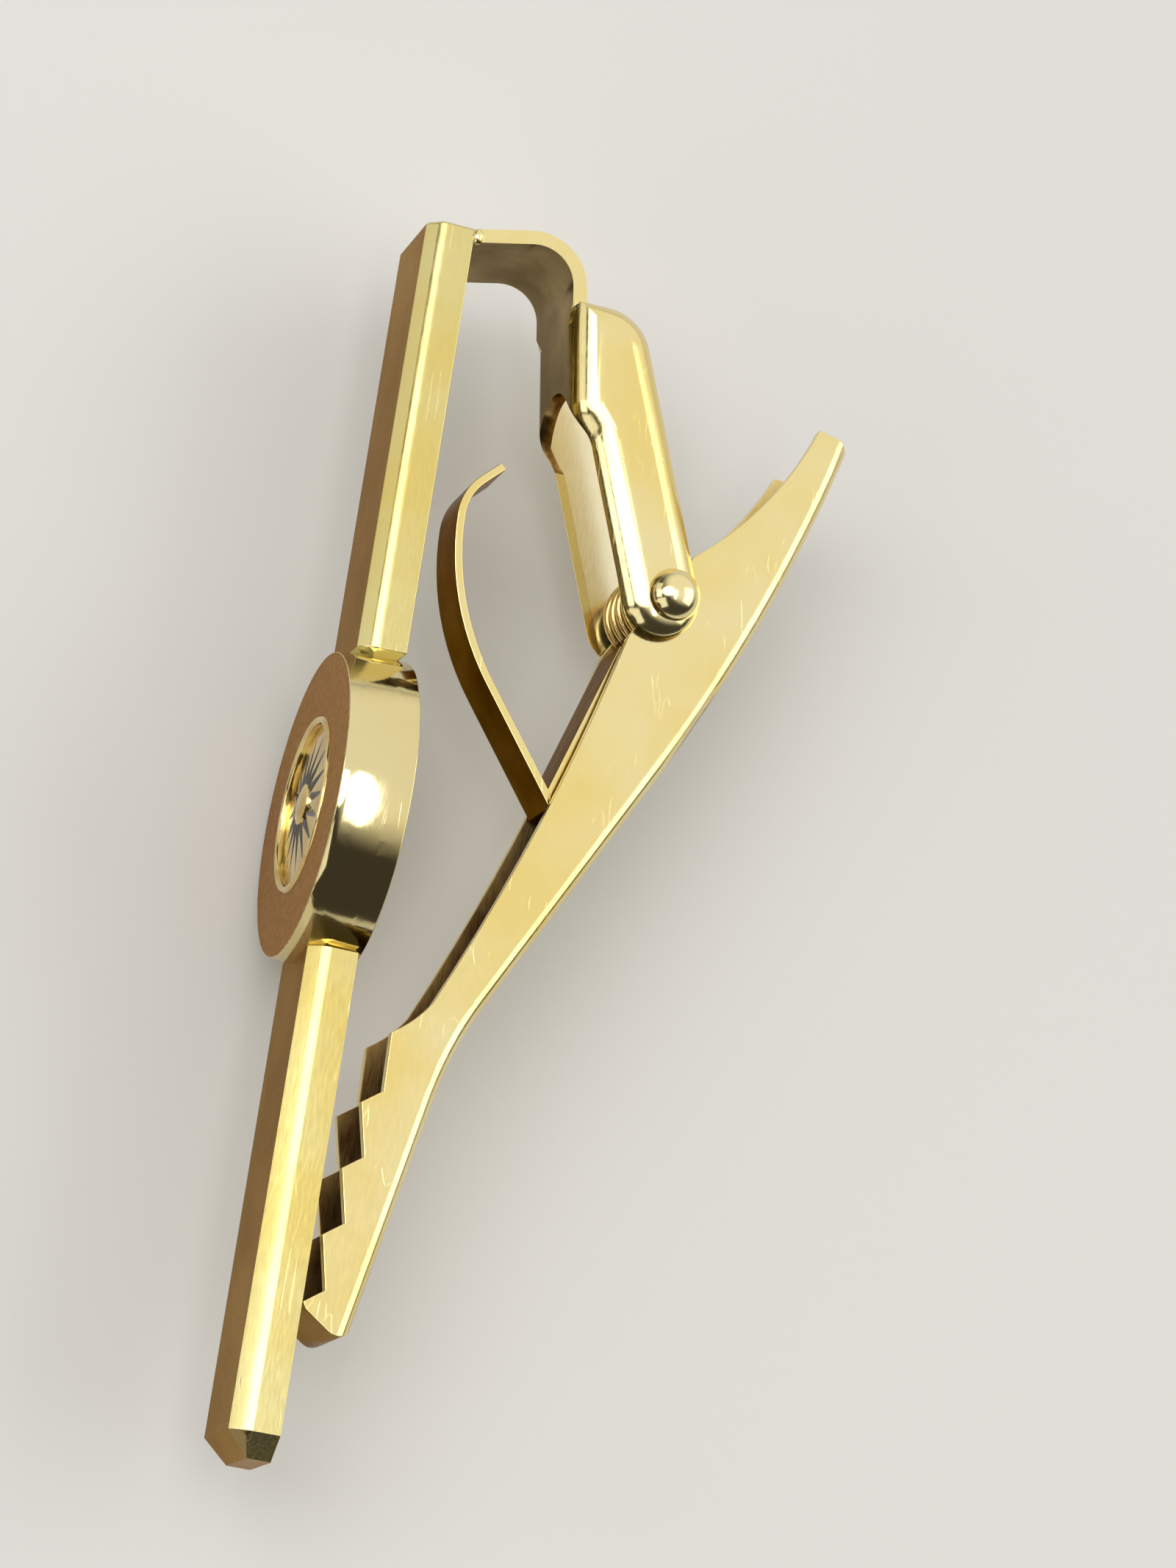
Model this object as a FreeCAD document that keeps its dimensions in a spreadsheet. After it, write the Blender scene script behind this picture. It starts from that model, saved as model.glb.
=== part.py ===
import FreeCAD, Part
import math
import os
from types import SimpleNamespace

import Sketcher

# A spring-jaw tie clip that lies on its side, in millimetres.
# +X runs along the bar from the yoke end to the free end, +Y from the front to the jaw,
# and +Z up across the bar's width. The origin is the centre of the medallion's flat back.

driving_sizes = {
    # Front bar, in two pieces on either side of the medallion
    "bar_width": 6.2,
    "bar_thickness": 2.35,
    "bar_setback": 0.25,
    "bar_bevel": 0.7,
    "upper_bar_reach": 29.95,
    "upper_end_bevel": 0.15,
    "lower_bar_reach": 31.65,
    "lower_end_bevel": 1.15,
    "bar_joint_bevel": 0.7,
    "upper_joint_lap": 0.6,
    "lower_joint_lap": 0.9,
    # Medallion, its recess and the emblem set in it
    "medallion_radius": 7.55,
    "medallion_flare": 0.25,
    "medallion_depth": 3.45,
    "medallion_rim_round": 0.06,
    "recess_radius": 4.4,
    "recess_depth": 0.55,
    "ring_width": 0.4,
    "ring_proud": 0.12,
    "emblem_edge_thickness": 0.3,
    "emblem_dome_rise": 0.3,
    "emblem_boss_radius": 1.0,
    "emblem_boss_rise": 0.15,
    "emblem_groove_width": 0.7,
    "emblem_groove_depth": 0.25,
    # Yoke: arch strip, web and ears, folded from one sheet
    "yoke_sheet": 0.7,
    "yoke_width": 7.5,
    "foot_inset": 0.05,
    "strip_width": 6.2,
    "strip_lap": 1.8,
    "arch_radius": 1.9,
    "arch_height": 3.5,
    "arch_lean_angle": 13.0,
    "web_slope_angle": 8.0,
    "web_run": 6.6,
    "ear_start": 0.45,
    "ear_radius": 2.2,
    "ear_offset": 0.45,
    "arm_run": 8.45,
    "arm_slope_angle": 20.0,
    "ear_corner_round": 2.7,
    "ear_step_round": 2.2,
    "yoke_fold_round": 1.6,
    "notch_start": 1.75,
    "notch_width": 5.8,
    # Hinge
    "pivot_inset": 16.42,
    "pivot_height": 12.45,
    "rivet_radius": 0.75,
    "rivet_head_radius": 1.35,
    "rivet_head_rise": 0.95,
    "rivet_seat_gap": 0.02,
    "hinge_clearance": 0.05,
    # Jaw: folded channel with teeth, relative to the hinge
    "jaw_sheet": 0.55,
    "jaw_width": 5.05,
    "jaw_reach": 39.4,
    "jaw_tip_gap": 0.15,
    "tail_reach": 10.7,
    "tail_rise": 8.45,
    "far_tail_trim": 1.35,
    "lobe_radius": 1.6,
    "tail_curve": 19.0,
    "front_curve": 113.0,
    "brow_curve": 6.2,
    "waist_curve": 18.6,
    "back_curve": 90.0,
    "spine_round": 0.75,
    "nose_setback": 1.8,
    "nose_lift": 0.2,
    "tooth_pitch": 3.28,
    "tooth_fall": 0.42,
    "tooth_lead": 0.72,
    "tooth_depth": 0.98,
    "first_tooth_length": 3.6,
    "first_tooth_lift": 0.92,
    # Tongue: V-bent spring leaf
    "tongue_sheet": 0.4,
    "tongue_width": 3.3,
    "tongue_fold_reach": 11.4,
    "tongue_fold_drop": 4.15,
    "tongue_leg_length": 9.2,
    "tongue_leg_angle": 15.0,
    "tongue_leaf_angle": 37.0,
    "tongue_leaf_run": 6.7,
    "tongue_leaf_curve": 13.8,
    "tongue_hook_curve": 3.0,
    "tongue_hook_angle": 45.0,
    "tongue_tip_run": 1.3,
    # Torsion spring on the rivet
    "wire_diameter": 0.45,
    "coil_radius": 1.85,
    "coil_side_gap": 0.175,
    "wire_bend": 0.7,
    "wire_seat_gap": 0.02,
    "web_leg_seat": 4.0,
    "tail_leg_seat": 6.6,
    # One overrun for all cuts
    "overrun": 1.0,
}
emblem_groove_count = 16
tooth_count = 5
coil_turn_count = 3
turn_arc_count = 4
gap_sample_count = 800

doc = FreeCAD.newDocument("tie_clip")
sheet = doc.addObject("Spreadsheet::Sheet", "Sizes")
for row, (name, value) in enumerate(driving_sizes.items(), start=1):
    sheet.set(f"A{row}", name)
    sheet.set(f"B{row}", str(value))
    sheet.setAlias(f"B{row}", name)
doc.recompute()


class Size:
    """A number together with the sheet formula that gives it."""

    def __init__(self, value, formula):
        self.value = value
        self.formula = formula

    def __add__(self, other):
        other = as_size(other)
        return Size(self.value + other.value, f"({self.formula} + {other.formula})")

    def __sub__(self, other):
        other = as_size(other)
        return Size(self.value - other.value, f"({self.formula} - {other.formula})")

    def __mul__(self, other):
        other = as_size(other)
        return Size(self.value * other.value, f"({self.formula} * {other.formula})")

    def __truediv__(self, other):
        other = as_size(other)
        return Size(self.value / other.value, f"({self.formula} / {other.formula})")

    def __rmul__(self, other):
        return as_size(other) * self

    def __neg__(self):
        return Size(-self.value, f"(-1 * {self.formula})")


def as_size(number):
    return number if isinstance(number, Size) else Size(float(number), str(float(number)))


def sine(angle):
    return Size(math.sin(math.radians(angle.value)), f"sin({angle.formula} * 1 deg)")


def cosine(angle):
    return Size(math.cos(math.radians(angle.value)), f"cos({angle.formula} * 1 deg)")


s = SimpleNamespace(**{name: Size(value, f"Sizes.{name}") for name, value in driving_sizes.items()})


# Sketch and feature helpers

def shift(point, across, along):
    return (point[0] + across, point[1] + along)


def step(point, length, angle):
    return shift(point, length * cosine(angle), length * sine(angle))


def new_body(label, origin=None):
    body = doc.addObject("PartDesign::Body", label)
    body.Label = label
    for axis, place in zip("xyz", origin or ()):
        body.setExpression(f"Placement.Base.{axis}", place.formula)
    return body


def origin_item(body, role):
    return next(item for item in body.Origin.OriginFeatures if item.Role == role)


def new_sketch(body, name, plane):
    sketch = body.newObject("Sketcher::SketchObject", name)
    sketch.AttachmentSupport = [(origin_item(body, plane), "")]
    sketch.MapMode = "FlatFace"
    return sketch


def bind(sketch, constraint, size):
    index = sketch.addConstraint(constraint)
    sketch.setExpression(f"Constraints[{index}]", size.formula)


def bent_side(start, end, radius):
    """Arc from start to end; a positive radius turns left, a negative one right."""
    chord = end - start
    middle = (start + end) * 0.5
    left = FreeCAD.Vector(-chord.y, chord.x, 0).normalize()
    rise = math.sqrt(max(radius * radius - chord.Length ** 2 / 4, 0))
    centre = middle + left * math.copysign(rise, radius)
    first, last = (start, end) if radius > 0 else (end, start)
    angles = [math.atan2(point.y - centre.y, point.x - centre.x) for point in (first, last)]
    if angles[1] < angles[0]:
        angles[1] += 2 * math.pi
    circle = Part.Circle(centre, FreeCAD.Vector(0, 0, 1), abs(radius))
    return Part.ArcOfCircle(circle, *angles)


def outline(body, name, plane, corners, bends=None):
    """Closed sketch through corners; bends maps a corner to the radius of the side that leaves it."""
    bends = bends or {}
    sketch = new_sketch(body, name, plane)
    corners = [(as_size(across), as_size(along)) for across, along in corners]
    points = [FreeCAD.Vector(across.value, along.value, 0) for across, along in corners]
    ends = []
    for index, start in enumerate(points):
        end = points[(index + 1) % len(points)]
        radius = bends.get(index)
        if radius is None:
            sketch.addGeometry(Part.LineSegment(start, end))
        else:
            sketch.addGeometry(bent_side(start, end, radius.value))
        ends.append((2, 1) if radius is not None and radius.value < 0 else (1, 2))
    for index in range(len(points)):
        following = (index + 1) % len(points)
        joint = Sketcher.Constraint("Coincident", index, ends[index][1], following, ends[following][0])
        sketch.addConstraint(joint)
    for index, (across, along) in enumerate(corners):
        begin = ends[index][0]
        bind(sketch, Sketcher.Constraint("DistanceX", index, begin, across.value), across)
        bind(sketch, Sketcher.Constraint("DistanceY", index, begin, along.value), along)
    for index, radius in bends.items():
        size = radius if radius.value > 0 else -radius
        bind(sketch, Sketcher.Constraint("Radius", index, size.value), size)
    return sketch


def both_sides(body, kind, sketch, name, width):
    """Pad or pocket of a sketch, half of its width on each side of the sketch plane."""
    feature = body.newObject(f"PartDesign::{kind}", name)
    feature.Profile = sketch
    feature.SideType = "Symmetric"
    feature.setExpression("Length", width.formula)
    doc.recompute()
    return feature


def one_side(body, kind, sketch, name, length):
    feature = body.newObject(f"PartDesign::{kind}", name)
    feature.Profile = sketch
    feature.setExpression("Length", length.formula)
    doc.recompute()
    return feature


def turned(body, kind, sketch, name):
    """Full turn of a sketch about its own vertical axis."""
    feature = body.newObject(f"PartDesign::{kind}", name)
    feature.Profile = sketch
    feature.ReferenceAxis = (sketch, ["V_Axis"])
    feature.Angle = 360
    doc.recompute()
    return feature


def dress(body, kind, base, name, size, wanted):
    """Fillet or chamfer of the edges of base that pass the test."""
    names = [f"Edge{number}" for number, edge in enumerate(base.Shape.Edges, start=1) if wanted(edge)]
    feature = body.newObject(f"PartDesign::{kind}", name)
    feature.Base = (base, names)
    feature.setExpression("Radius" if kind == "Fillet" else "Size", size.formula)
    doc.recompute()
    return feature


def near(value, size):
    return math.isclose(value, as_size(size).value, abs_tol=1e-4)


def upright_at(corner):
    """Test for an edge along Z through a corner of the side outline."""
    def test(edge):
        return all(near(v.X, corner[0]) and near(v.Y, corner[1]) for v in edge.Vertexes)
    return test


pivot_x = s.pivot_inset - s.upper_bar_reach
pivot_y = s.pivot_height
bar_back = -s.bar_setback
medallion_back = s.medallion_radius + s.medallion_flare
zero = as_size(0)


# Front bar: bevelled section, bevelled free end and a bevelled joint against the drum

def make_bar(label, reach, end_bevel, lap, direction):
    """One half of the bar; direction is -1 towards the yoke end and 1 towards the free end."""
    body = new_body(label)
    half = s.bar_width / 2
    front = bar_back - s.bar_thickness
    shoulder = front + s.bar_bevel
    section = outline(body, f"{label}_section", "YZ_Plane", [
        (bar_back, -half), (bar_back, half), (shoulder, half), (front, half - s.bar_bevel),
        (front, s.bar_bevel - half), (shoulder, -half)])
    joint = s.medallion_radius - lap
    section.setExpression("AttachmentOffset.Base.z", (direction * joint).formula)
    bar = one_side(body, "Pad", section, f"{label}_length", reach - joint)
    bar.Reversed = direction < 0
    doc.recompute()
    free_end = direction * reach
    bar = dress(body, "Chamfer", bar, f"{label}_end_bevel", end_bevel, lambda edge: all(
        near(v.X, free_end) for v in edge.Vertexes) and not all(near(v.Y, bar_back) for v in edge.Vertexes))
    joint_end = direction * joint
    dress(body, "Chamfer", bar, f"{label}_joint_bevel", s.bar_joint_bevel, lambda edge: all(
        near(v.X, joint_end) for v in edge.Vertexes))
    drum = outline(body, f"{label}_drum", "XY_Plane", [
        (0, 0), (0, -s.medallion_depth), (s.medallion_radius, -s.medallion_depth), (medallion_back, 0)])
    turned(body, "Groove", drum, f"{label}_seat")
    return body


upper_bar = make_bar("upper_bar", s.upper_bar_reach, s.upper_end_bevel, s.upper_joint_lap, -1)
lower_bar = make_bar("lower_bar", s.lower_bar_reach, s.lower_end_bevel, s.lower_joint_lap, 1)


# Medallion: a turned drum with a recess in its front, a bright ring and a sunburst plate

recess_floor = s.recess_depth - s.medallion_depth
ring_inner = s.recess_radius - s.ring_width


def make_medallion_case():
    body = new_body("medallion_case")
    profile = outline(body, "case_profile", "XY_Plane", [
        (0, 0), (0, recess_floor), (s.recess_radius, recess_floor),
        (s.recess_radius, -s.medallion_depth), (s.medallion_radius, -s.medallion_depth),
        (medallion_back, 0)])
    drum = turned(body, "Revolution", profile, "case_drum")
    dress(body, "Fillet", drum, "case_rims", s.medallion_rim_round, lambda edge: hasattr(
        edge.Curve, "Radius") and edge.Curve.Radius > (s.medallion_radius - s.medallion_rim_round).value)
    return body


def make_emblem_ring():
    body = new_body("emblem_ring")
    crest = -s.medallion_depth - s.ring_proud
    profile = outline(body, "ring_profile", "XY_Plane", [
        (ring_inner, recess_floor), (ring_inner, -s.medallion_depth),
        (ring_inner + s.ring_width / 4, crest), (s.recess_radius - s.ring_width / 4, crest),
        (s.recess_radius, -s.medallion_depth), (s.recess_radius, recess_floor)])
    turned(body, "Revolution", profile, "ring_band")
    return body


def make_emblem_plate():
    """Domed plate with a centre boss, cut by radial V grooves into a sunburst."""
    body = new_body("emblem_plate")
    edge_face = recess_floor - s.emblem_edge_thickness
    dome_face = edge_face - s.emblem_dome_rise
    boss_face = dome_face - s.emblem_boss_rise
    profile = outline(body, "emblem_profile", "XY_Plane", [
        (0, recess_floor), (0, boss_face), (s.emblem_boss_radius / 2, boss_face),
        (s.emblem_boss_radius, dome_face), (ring_inner, edge_face), (ring_inner, recess_floor)])
    turned(body, "Revolution", profile, "emblem_dome")
    half = s.emblem_groove_width / 2
    mouth = dome_face - s.overrun
    spread = half + half * s.overrun / s.emblem_groove_depth
    groove = outline(body, "emblem_groove_section", "YZ_Plane", [
        (dome_face + s.emblem_groove_depth, 0), (mouth, spread), (mouth, -spread)])
    groove.setExpression("AttachmentOffset.Base.z", s.emblem_boss_radius.formula)
    cut = one_side(body, "Pocket", groove, "emblem_groove", s.recess_radius + s.overrun)
    cut.Reversed = True
    doc.recompute()
    rays = body.newObject("PartDesign::PolarPattern", "emblem_rays")
    rays.Originals = [cut]
    rays.Axis = (origin_item(body, "Y_Axis"), [""])
    rays.Angle = 360
    rays.Occurrences = emblem_groove_count
    body.Tip = rays
    doc.recompute()
    return body


medallion_case = make_medallion_case()
emblem_ring = make_emblem_ring()
emblem_plate = make_emblem_plate()


# Yoke: side outlines of the arch strip and of the housing with its two ears

arch_outer = s.arch_radius + s.yoke_sheet
foot_outer = (s.foot_inset - s.upper_bar_reach, bar_back)
foot_inner = shift(foot_outer, s.yoke_sheet / cosine(s.arch_lean_angle), zero)
rise_length = (s.arch_height - arch_outer * sine(s.arch_lean_angle)) / cosine(s.arch_lean_angle)
arch_start = shift(foot_outer, -rise_length * sine(s.arch_lean_angle),
                   rise_length * cosine(s.arch_lean_angle))
arch_centre = step(arch_start, arch_outer, s.arch_lean_angle)


def on_arch(radius, lean):
    """Points of the arch where it leaves the straight foot and where it meets the web."""
    start = step(arch_centre, -radius, lean)
    end = shift(arch_centre, -radius * sine(s.web_slope_angle), radius * cosine(s.web_slope_angle))
    return start, end


arch_outer_start, arch_outer_end = on_arch(arch_outer, s.arch_lean_angle)
arch_inner_start, arch_inner_end = on_arch(s.arch_radius, s.arch_lean_angle)
web_end = step(arch_inner_end, s.web_run, s.web_slope_angle)
ear_top = step(arch_inner_end, s.ear_start, s.web_slope_angle)
across_x, across_y = sine(s.arm_slope_angle), cosine(s.arm_slope_angle)
pivot = (pivot_x, pivot_y)
ear_centre = shift(pivot, s.ear_offset * across_x, -s.ear_offset * across_y)
arm_front_end = shift(ear_centre, s.ear_radius * across_x, -s.ear_radius * across_y)
arm_front_start = step(arm_front_end, -s.arm_run, s.arm_slope_angle)
arm_nose = step(ear_centre, s.ear_radius, s.arm_slope_angle)
arm_back_end = shift(ear_centre, -s.ear_radius * across_x, s.ear_radius * across_y)
arm_back_length = (arm_back_end[0] - ear_top[0]) / across_y
ear_corner = step(arm_back_end, -arm_back_length, s.arm_slope_angle)
yoke_inner_width = s.yoke_width - 2 * s.yoke_sheet


def make_yoke():
    body = new_body("yoke")
    ears = outline(body, "housing_profile", "XY_Plane", [
        ear_top, web_end, arm_front_start, arm_front_end, arm_nose, arm_back_end, ear_corner],
        {3: s.ear_radius, 4: s.ear_radius})
    housing = both_sides(body, "Pad", ears, "housing", s.yoke_width)
    housing = dress(body, "Fillet", housing, "ear_corner_round", s.ear_corner_round, upright_at(ear_corner))
    at_step = [upright_at(web_end), upright_at(arm_front_start)]
    housing = dress(body, "Fillet", housing, "ear_step_round", s.ear_step_round,
                    lambda edge: any(test(edge) for test in at_step))
    half = s.yoke_width / 2
    arm_slope = math.tan(math.radians(s.arm_slope_angle.value))

    def on_front_fold(edge):
        middle = edge.valueAt((edge.FirstParameter + edge.LastParameter) / 2)
        arm_middle = pivot_y.value + (middle.x - pivot_x.value) * arm_slope
        on_side = near(abs(middle.z), half) and all(near(abs(v.Z), half) for v in edge.Vertexes)
        on_top = all(near(v.X, ear_top[0]) for v in edge.Vertexes)
        return on_side and not on_top and middle.y < arm_middle

    dress(body, "Fillet", housing, "fold_round", s.yoke_fold_round, on_front_fold)
    lift = s.yoke_sheet / cosine(s.web_slope_angle)
    far_end = step(arm_front_end, 2 * s.ear_radius + s.overrun, s.arm_slope_angle)
    back = pivot_y + s.ear_radius + s.overrun
    channel = outline(body, "channel_profile", "XY_Plane", [
        shift(step(ear_top, -s.overrun, s.web_slope_angle), zero, lift), shift(web_end, zero, lift),
        shift(arm_front_start, zero, lift), shift(far_end, zero, lift),
        (far_end[0], back), (ear_top[0] - s.overrun, back)])
    both_sides(body, "Pocket", channel, "channel", yoke_inner_width)
    notch_radius = s.notch_width / 2
    notch_centre = web_end[0] - s.notch_start + notch_radius
    beyond = far_end[0] + s.ear_radius
    notch = outline(body, "notch_profile", "XZ_Plane", [
        (notch_centre, notch_radius), (notch_centre - notch_radius, 0), (notch_centre, -notch_radius),
        (beyond, -notch_radius), (beyond, notch_radius)],
        {0: notch_radius, 1: notch_radius})
    both_sides(body, "Pocket", notch, "notch", 2 * (back + s.overrun))
    strip = outline(body, "strip_profile", "XY_Plane", [
        foot_outer, foot_inner, arch_inner_start, arch_inner_end,
        step(arch_inner_end, s.strip_lap, s.web_slope_angle),
        step(arch_outer_end, s.strip_lap, s.web_slope_angle), arch_outer_end, arch_outer_start],
        {2: -s.arch_radius, 6: arch_outer})
    both_sides(body, "Pad", strip, "strip", s.strip_width)
    hole = new_sketch(body, "rivet_hole", "XY_Plane")
    add_circle(hole, pivot, s.rivet_radius + s.rivet_seat_gap)
    both_sides(body, "Pocket", hole, "rivet_holes", s.yoke_width + s.overrun)
    return body


def add_circle(sketch, centre, radius):
    place = FreeCAD.Vector(centre[0].value, centre[1].value, 0)
    index = sketch.addGeometry(Part.Circle(place, FreeCAD.Vector(0, 0, 1), radius.value))
    bind(sketch, Sketcher.Constraint("DistanceX", index, 3, centre[0].value), centre[0])
    bind(sketch, Sketcher.Constraint("DistanceY", index, 3, centre[1].value), centre[1])
    bind(sketch, Sketcher.Constraint("Radius", index, radius.value), radius)


yoke = make_yoke()


# Jaw: side outline about the hinge, as shares of its reach, drop and tail

jaw_drop = pivot_y - bar_back - s.jaw_tip_gap
jaw_inner_width = s.jaw_width - 2 * s.jaw_sheet
tail_front_share = 0.786
tail_back_end_share = 0.963
tail_root_shares = (0.242, 0.129)
lobe_start_shares = (-0.954, 0.300)
lobe_end_shares = (0.737, -0.676)
chin_shares = (0.057, 0.134)
brow_shares = (0.568, 0.684)
waist_shares = (0.678, 0.609)
shin_shares = (0.552, 0.466)
back_shares = (0.215, -0.096)
nose_back_share = 0.81
nose_corner_share = 1.7


def in_jaw(shares):
    return (s.jaw_reach * shares[0], -jaw_drop * shares[1])


tail_front = (-s.tail_reach, s.tail_rise * tail_front_share)
tail_back = (-s.tail_reach * tail_back_end_share, s.tail_rise)
tail_root = (-s.tail_reach * tail_root_shares[0], s.tail_rise * tail_root_shares[1])
lobe_start = (s.lobe_radius * lobe_start_shares[0], s.lobe_radius * lobe_start_shares[1])
lobe_end = (s.lobe_radius * lobe_end_shares[0], s.lobe_radius * lobe_end_shares[1])
last_tip = (s.jaw_reach - s.nose_setback, -jaw_drop)
nose_corner = shift(last_tip, s.nose_lift * nose_corner_share, s.nose_lift)
nose_back = (s.jaw_reach, -jaw_drop * nose_back_share)
waist_tip, waist_hand = in_jaw(waist_shares), in_jaw(shin_shares)
back_start = in_jaw(back_shares)


def tooth_row():
    """Saw teeth from the first tip to the last: each root stands back from the next tip."""
    points = []
    for number in range(tooth_count - 1):
        gap = tooth_count - 2 - number
        tip = shift(last_tip, -s.tooth_pitch * gap, s.tooth_fall * gap)
        if number == 0:
            points.append(shift(tip, -s.first_tooth_length, s.first_tooth_lift))
        points.append(shift(tip, -s.tooth_lead, s.tooth_depth))
        points.append(tip)
    return points


def make_jaw():
    body = new_body("jaw", (pivot_x, pivot_y))
    corners = [tail_front, tail_root, lobe_start, lobe_end, in_jaw(chin_shares), in_jaw(brow_shares)]
    brow = len(corners) - 1
    corners += tooth_row()
    corners += [nose_corner, nose_back]
    waist = len(corners)
    corners += [waist_tip, waist_hand, back_start, tail_back]
    side = outline(body, "jaw_profile", "XY_Plane", corners, {
        0: -s.tail_curve, 2: s.lobe_radius, 4: -s.front_curve, brow: -s.brow_curve,
        waist: -s.waist_curve, waist + 2: s.back_curve})
    solid = both_sides(body, "Pad", side, "jaw_block", s.jaw_width)
    half = s.jaw_width / 2
    back_points = [nose_back, waist_tip, waist_hand, back_start, tail_back]

    def on_spine(edge):
        if not all(near(abs(v.Z), half) for v in edge.Vertexes):
            return False
        ends = [(v.X, v.Y) for v in edge.Vertexes]
        pairs = zip(back_points, back_points[1:])
        return any(all(any(near(x, p[0]) and near(y, p[1]) for p in pair) for x, y in ends)
                   for pair in pairs)

    dress(body, "Fillet", solid, "spine_round", s.spine_round, on_spine)
    below = -jaw_drop - s.overrun
    left = -s.tail_reach - s.overrun
    inner_back = [shift(point, zero, -s.jaw_sheet) for point in back_points]
    inner_nose = shift(inner_back[0], -s.jaw_sheet, zero)
    hollow = outline(body, "jaw_hollow_profile", "XY_Plane", [
        (left, below), (last_tip[0] - s.jaw_sheet, below), inner_nose] + inner_back[1:]
        + [(left, inner_back[-1][1])],
        {3: -s.waist_curve, 5: s.back_curve})
    both_sides(body, "Pocket", hollow, "jaw_hollow", jaw_inner_width)
    trim = outline(body, "far_tail_profile", "XY_Plane", [
        shift(tail_front, s.far_tail_trim, -s.overrun), shift(tail_back, s.far_tail_trim, s.overrun),
        shift(tail_back, -s.overrun, s.overrun), shift(tail_front, -s.overrun, -s.overrun)])
    trim.setExpression("AttachmentOffset.Base.z", (-jaw_inner_width / 2).formula)
    one_side(body, "Pocket", trim, "far_tail_trim", s.jaw_sheet + s.overrun)
    hole = new_sketch(body, "jaw_hole", "XY_Plane")
    add_circle(hole, (zero, zero), s.rivet_radius + s.hinge_clearance)
    both_sides(body, "Pocket", hole, "jaw_holes", s.jaw_width + s.overrun)
    return body


jaw = make_jaw()


# Rivet: a turned shaft with a domed head at each end

def make_rivet():
    body = new_body("hinge_rivet", (pivot_x, pivot_y))
    seat = s.yoke_width / 2
    crown = seat + s.rivet_head_rise
    dome = (s.rivet_head_radius * s.rivet_head_radius + s.rivet_head_rise * s.rivet_head_rise) / (
        2 * s.rivet_head_rise)
    profile = outline(body, "rivet_profile", "XZ_Plane", [
        (0, -crown), (s.rivet_head_radius, -seat), (s.rivet_radius, -seat), (s.rivet_radius, seat),
        (s.rivet_head_radius, seat), (0, crown)],
        {0: dome, 4: dome})
    turned(body, "Revolution", profile, "rivet_turned")
    return body


hinge_rivet = make_rivet()


# Tongue: a strip folded to a V, with its leg in the jaw's mouth and its leaf hooked at the tip

def make_tongue():
    body = new_body("tie_tongue", (pivot_x, pivot_y))
    fold = (s.tongue_fold_reach, -s.tongue_fold_drop)
    leaf_angle, leg_angle, hook_angle = s.tongue_leaf_angle, s.tongue_leg_angle, s.tongue_hook_angle
    thick = s.tongue_sheet

    def inward(point, angle):
        """The other face of the leaf, square to its run at a slope."""
        return shift(point, -thick * sine(angle), thick * cosine(angle))

    leaf_end = step(fold, -s.tongue_leaf_run, leaf_angle)
    curve_centre = shift(leaf_end, -s.tongue_leaf_curve * sine(leaf_angle),
                         s.tongue_leaf_curve * cosine(leaf_angle))
    hollow_end = shift(curve_centre, zero, -s.tongue_leaf_curve)
    hook_centre = shift(hollow_end, zero, s.tongue_hook_curve)
    hook_end = shift(hook_centre, -s.tongue_hook_curve * sine(hook_angle),
                     -s.tongue_hook_curve * cosine(hook_angle))
    tip = shift(hook_end, -s.tongue_tip_run * cosine(hook_angle), s.tongue_tip_run * sine(hook_angle))
    tip_back = shift(tip, thick * sine(hook_angle), thick * cosine(hook_angle))
    hook_end_back = shift(hook_end, thick * sine(hook_angle), thick * cosine(hook_angle))
    leg_end = shift(fold, -s.tongue_leg_length * cosine(leg_angle), s.tongue_leg_length * sine(leg_angle))
    leg_end_back = shift(leg_end, thick * sine(leg_angle), thick * cosine(leg_angle))
    fold_back = shift(fold, thick * sine(leg_angle), thick * cosine(leg_angle))
    half_fold = (leaf_angle + leg_angle) / 2
    crotch_run = thick / sine(half_fold) * cosine(half_fold)
    crotch = inward(step(fold, -crotch_run, leaf_angle), leaf_angle)
    side = outline(body, "tongue_profile", "XY_Plane", [
        tip, hook_end, hollow_end, leaf_end, fold, fold_back, leg_end_back, leg_end, crotch,
        inward(leaf_end, leaf_angle), shift(hollow_end, zero, thick), hook_end_back, tip_back],
        {1: s.tongue_hook_curve, 2: s.tongue_leaf_curve,
         9: thick - s.tongue_leaf_curve, 10: thick - s.tongue_hook_curve})
    both_sides(body, "Pad", side, "tongue_strip", s.tongue_width)
    return body


tie_tongue = make_tongue()


# Torsion spring: one wire from the yoke's web, round the rivet and into the jaw's tail

def tangent_arc(start, corner, end):
    """Arc from start to end whose tangents meet in corner, at equal distance from both."""
    middle = (start + end) * 0.5
    half_chord = (end - start).Length / 2
    turn = math.acos(min(1, half_chord / (corner - start).Length))
    crown = middle + (corner - middle) * (math.tan(turn / 2) / math.tan(turn))
    return Part.Arc(start, crown, end).toShape()


def biarc(start, start_heading, end, end_heading):
    """Two arcs that join two points along their headings."""
    span = end - start
    headings = start_heading + end_heading
    spread = 2 * (1 - start_heading.dot(end_heading))
    along = span.dot(headings)
    reach = (math.sqrt(along * along + spread * span.dot(span)) - along) / spread
    first = start + start_heading * reach
    last = end - end_heading * reach
    joint = (first + last) * 0.5
    return [tangent_arc(start, first, joint), tangent_arc(joint, last, end)]


def tangent_point(outside, centre, radius, left):
    """Where the line from a point outside touches a circle, seen from that point."""
    span = FreeCAD.Vector(centre.x - outside.x, centre.y - outside.y, 0)
    swing = math.asin(radius / span.Length) * (1 if left else -1)
    heading = math.atan2(span.y, span.x) + swing
    length = math.sqrt(span.Length ** 2 - radius ** 2)
    return FreeCAD.Vector(outside.x + length * math.cos(heading), outside.y + length * math.sin(heading), 0)


def flat(point, height=0.0):
    return FreeCAD.Vector(point[0].value, point[1].value, height)


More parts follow.
